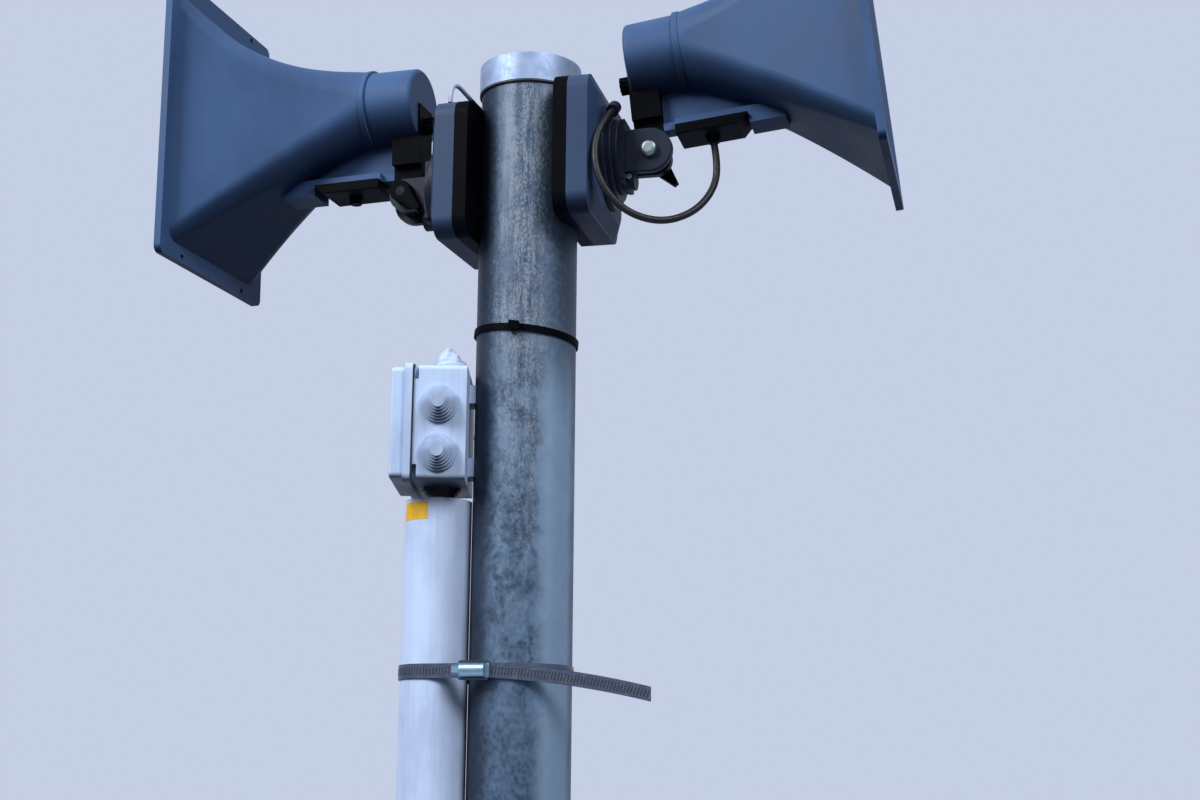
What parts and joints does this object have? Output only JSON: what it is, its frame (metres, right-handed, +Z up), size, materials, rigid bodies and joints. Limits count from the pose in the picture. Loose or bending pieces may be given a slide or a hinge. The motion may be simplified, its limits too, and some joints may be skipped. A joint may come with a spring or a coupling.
{
  "type": "warning horn mast",
  "caption": "Planted steel tube mast with tilting horn loudspeakers on wall boxes, a junction box and a clamped cable pipe.",
  "frame": {"origin": "centre of the pole's foot at ground level", "axes": "+Z up the pole, +X to the right and +Y away from a viewer in front"},
  "size_m": [0.5868, 0.3083, 2.3818],
  "materials": {
    "galvanised_steel": "hot-dip galvanised, mottled and streaked with white bloom",
    "zinc_cap": "pale zinc, satin",
    "horn_plastic": "charcoal blue moulded plastic, fine satin grain",
    "black_plastic": "black moulded plastic",
    "bright_steel": "bright plated steel",
    "stainless_steel": "rolled stainless band",
    "junction_plastic": "pale grey moulded plastic, weathered",
    "grommet_rubber": "pale grey soft rubber",
    "pipe_plastic": "white extruded plastic",
    "lead_rubber": "black cable sheath",
    "feed_sheath": "grey cable sheath"
  },
  "bodies": {
    "mast": {"pole": "galvanised_steel", "pole_cap": "zinc_cap", "cable_tie": "black_plastic", "junction_body": "junction_plastic", "junction_lid": "junction_plastic", "cable_pipe": "pipe_plastic", "feed_cable": "feed_sheath", "grommet_near_upper": "grommet_rubber", "grommet_near_lower": "grommet_rubber", "grommet_far_upper": "grommet_rubber", "grommet_far_lower": "grommet_rubber", "grommet_top": "grommet_rubber", "grommet_bottom": "grommet_rubber", "clamp_band_upper": "stainless_steel", "clamp_worm_upper": "stainless_steel", "clamp_band_middle": "stainless_steel", "clamp_worm_middle": "stainless_steel", "clamp_band_lower": "stainless_steel", "clamp_worm_lower": "stainless_steel", "clamp_tail_upper": "stainless_steel", "back_plate_right": "black_plastic", "back_plate_left": "black_plastic", "housing_right": "horn_plastic", "housing_left": "horn_plastic"},
    "swivel_right": {"swivel_disc_right": "horn_plastic", "fork_right": "horn_plastic", "pivot_bolt_right": "bright_steel", "wing_lever_right": "black_plastic", "lead_right": "lead_rubber"},
    "horn_right": {"driver_right": "horn_plastic", "rear_cap_right": "horn_plastic", "tap_knob_right": "black_plastic", "bell_right": "horn_plastic", "phase_plug_right": "black_plastic", "horn_arm_right": "black_plastic", "bell_rib_right": "horn_plastic", "terminal_box_right": "black_plastic", "lead_gland_right": "black_plastic"},
    "swivel_left": {"swivel_disc_left": "horn_plastic", "fork_left": "horn_plastic", "pivot_bolt_left": "bright_steel", "wing_lever_left": "black_plastic"},
    "horn_left": {"driver_left": "horn_plastic", "rear_cap_left": "horn_plastic", "tap_knob_left": "black_plastic", "bell_left": "horn_plastic", "phase_plug_left": "black_plastic", "horn_arm_left": "black_plastic", "bell_rib_left": "horn_plastic", "terminal_box_left": "black_plastic", "lead_gland_left": "black_plastic"}
  },
  "joints": [
    {"name": "turn_right", "type": "hinge", "parent": "mast", "child": "swivel_right", "pos_m": [0, 0, 2.178], "axis": [0.9728, -0.2317, 0], "range_deg": [-90, 90]},
    {"name": "tilt_right", "type": "hinge", "parent": "swivel_right", "child": "horn_right", "pos_m": [0.09582, -0.02283, 2.178], "axis": [-0.2317, -0.9728, 0], "range_deg": [-36.2, 3.8], "deforming": ["lead_right"]},
    {"name": "turn_left", "type": "hinge", "parent": "mast", "child": "swivel_left", "pos_m": [0, 0, 2.158], "axis": [-0.9563, 0.2924, 0], "range_deg": [-90, 90]},
    {"name": "tilt_left", "type": "hinge", "parent": "swivel_left", "child": "horn_left", "pos_m": [-0.0942, 0.0288, 2.158], "axis": [0.2924, 0.9563, 0], "range_deg": [-29.2, 10.8]}
  ]
}
